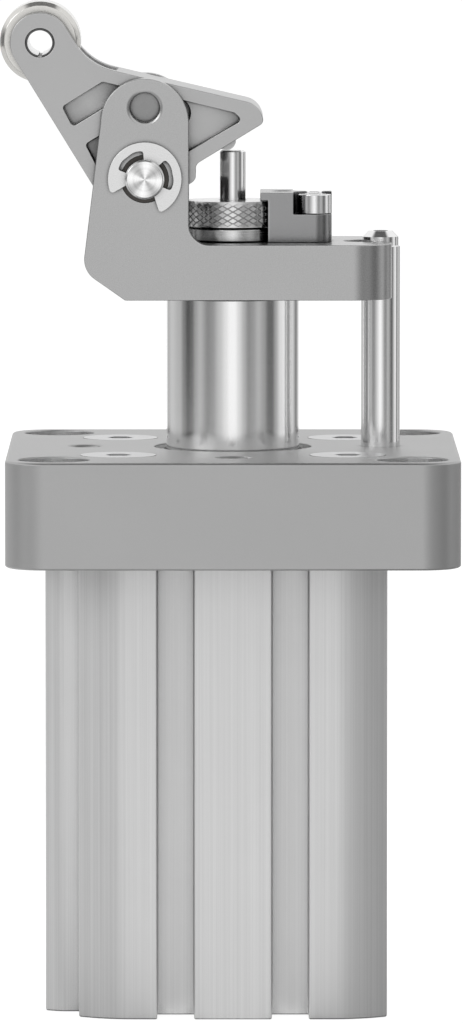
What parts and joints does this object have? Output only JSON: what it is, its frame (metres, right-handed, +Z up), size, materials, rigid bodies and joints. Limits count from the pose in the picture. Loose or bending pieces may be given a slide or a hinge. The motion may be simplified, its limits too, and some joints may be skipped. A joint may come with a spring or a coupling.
{
  "type": "stopper cylinder with roller lever",
  "caption": "Pneumatic stopper cylinder with a square mounting flange, a damped roller lever, a guide rod and a grooved square barrel.",
  "frame": {"origin": "middle of the barrel's foot, on the axis of the piston rod", "axes": "+Z up the piston rod; +X towards the guide rod, away from the roller; +Y to the back, along the lever axle"},
  "size_m": [0.1164, 0.1146, 0.2562],
  "materials": {
    "anodised_aluminium": "satin anodised",
    "milled_aluminium": "fine milled and anodised",
    "satin_steel": "satin nickel plated",
    "chromed_steel": "polished hard chrome",
    "zinc_steel": "bright zinc plated",
    "spring_steel": "bright",
    "bronze": "sintered, oiled",
    "seal_rubber": "matte",
    "wear_plastic": "matte",
    "magnet_ferrite": "matte",
    "roller_plastic": "turned, slightly glossy"
  },
  "bodies": {
    "housing": {"barrel": "anodised_aluminium", "end_cap": "anodised_aluminium", "end_cap_seal": "seal_rubber", "end_cap_ring": "spring_steel", "flange": "milled_aluminium", "flange_seal": "seal_rubber", "flange_screws": "zinc_steel", "rod_bearing": "bronze", "rod_seal": "seal_rubber", "rod_wiper": "seal_rubber", "stroke_bumper": "seal_rubber", "guide_rod": "chromed_steel", "advance_spring": "spring_steel"},
    "ram": {"piston_rod": "chromed_steel", "piston": "milled_aluminium", "piston_seal": "seal_rubber", "piston_magnet": "magnet_ferrite", "piston_wear_ring": "wear_plastic", "piston_bolt": "zinc_steel", "bracket": "satin_steel", "bracket_dowel": "zinc_steel", "axle_bush_front": "bronze", "axle_bush_back": "bronze", "absorber_body": "zinc_steel", "absorber_gland": "zinc_steel", "absorber_spring": "spring_steel", "absorber_lock_nut": "chromed_steel", "lock_block": "satin_steel", "lock_screws": "zinc_steel", "lever_spring": "spring_steel"},
    "ring": {"setting_ring": "zinc_steel"},
    "plunger": {"plunger": "chromed_steel"},
    "axle": {"lever_axle": "zinc_steel", "axle_clip_front": "spring_steel", "axle_clip_back": "spring_steel"},
    "arm": {"lever": "satin_steel", "pressure_pad": "chromed_steel", "roller_pin": "spring_steel"},
    "wheel": {"roller": "roller_plastic", "roller_bush": "bronze"}
  },
  "joints": [
    {"name": "rod_stroke", "type": "slide", "parent": "housing", "child": "ram", "axis": [0, 0, 1], "range_m": [-0.03, 0], "stiffness_N_per_m": 500, "springref_m": 0.06, "deforming": ["advance_spring"]},
    {"name": "ring_turn", "type": "hinge", "parent": "ram", "child": "ring", "pos_m": [0, 0, 0.2021], "axis": [0, 0, 1], "range_deg": [-150, 150]},
    {"name": "lever_push", "type": "hinge", "parent": "ram", "child": "axle", "pos_m": [-0.0223, 0, 0.2118], "axis": [0, 1, 0], "range_deg": [0, 25], "deforming": ["lever_spring"]},
    {"name": "plunger_travel", "type": "slide", "parent": "ram", "child": "plunger", "axis": [0, 0, 1], "range_m": [-0.0096, 0], "stiffness_N_per_m": 100, "springref_m": 0.04, "deforming": ["absorber_spring"]},
    {"name": "lever_fold", "type": "hinge", "parent": "axle", "child": "arm", "pos_m": [-0.0223, 0, 0.2118], "axis": [0, 1, 0], "range_deg": [-26, 0], "stiffness_Nm_per_rad": 0.05, "springref_deg": 57.3, "deforming": ["lever_spring"]},
    {"name": "roller_spin", "type": "hinge", "parent": "arm", "child": "wheel", "pos_m": [-0.0489, 0, 0.246], "axis": [0, 1, 0], "continuous": true}
  ],
  "couplings": [
    {"joint": "lever_push", "follows": "plunger_travel", "rad_per_m": -45.45}
  ]
}
